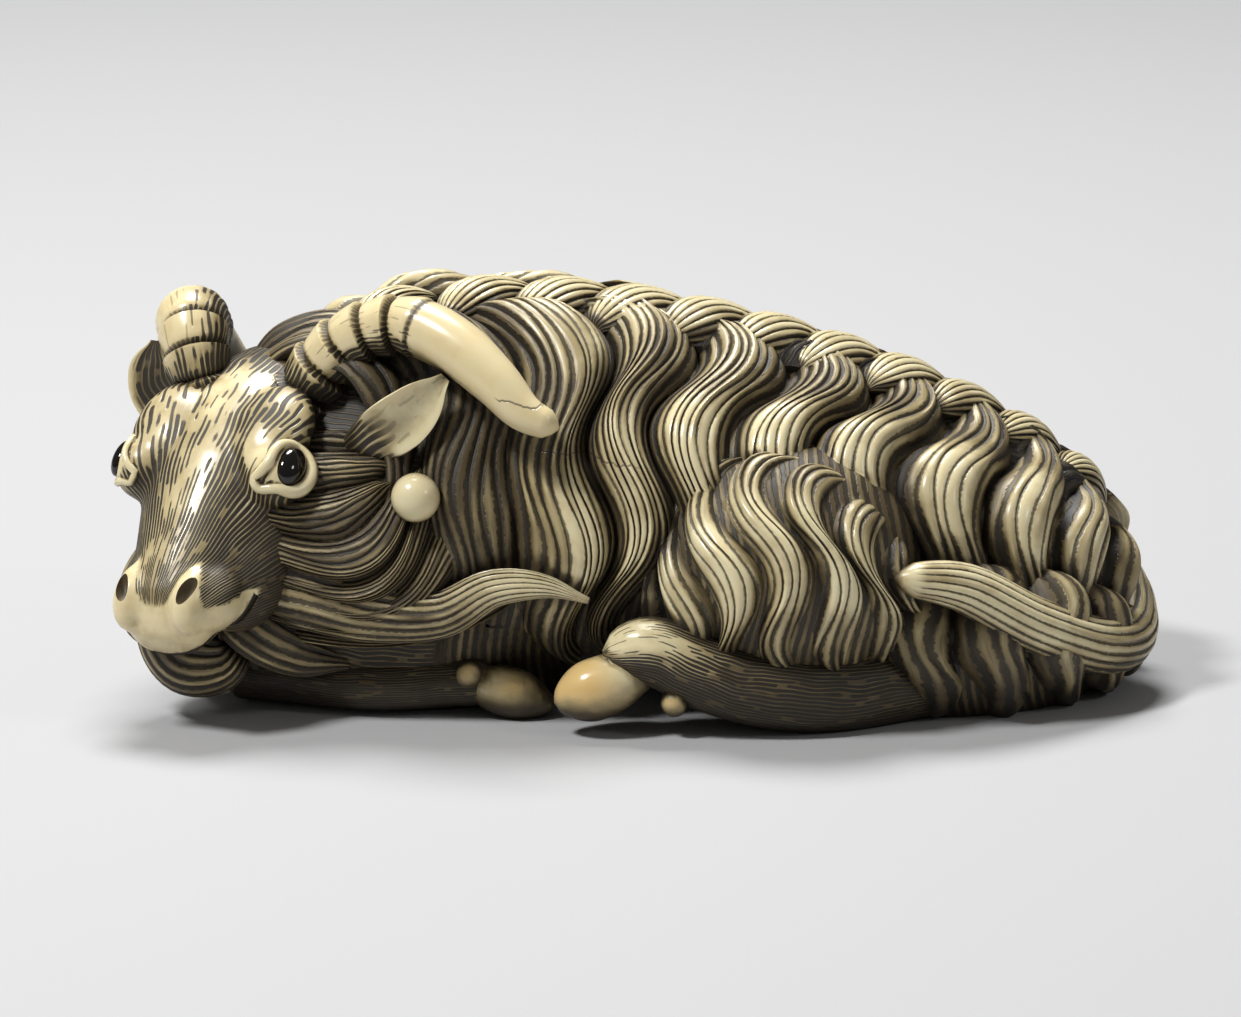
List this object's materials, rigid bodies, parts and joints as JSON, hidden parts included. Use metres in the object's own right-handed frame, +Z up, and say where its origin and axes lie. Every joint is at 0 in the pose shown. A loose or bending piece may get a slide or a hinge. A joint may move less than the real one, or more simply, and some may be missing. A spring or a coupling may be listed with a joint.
{
  "type": "netsuke",
  "caption": "Carved ivory netsuke of a recumbent long-haired goat, with ringed curling horns, wavy locks, folded legs and a cord tunnel in its belly.",
  "frame": {"origin": "on the ground, under the middle of the bounding box", "axes": "+X from the goat's chest to its rump, +Y away from the side that its head turns to, +Z up"},
  "size_m": [0.054, 0.0266, 0.0214],
  "materials": {
    "ivory": "polished old ivory, warm cream on the ridges, with a dark brown stain left in the cut lines",
    "horn": "black horn inlay, polished to a gloss"
  },
  "bodies": {
    "root": {"goat": "ivory", "eye_left": "horn", "eye_right": "horn"}
  },
  "joints": []
}
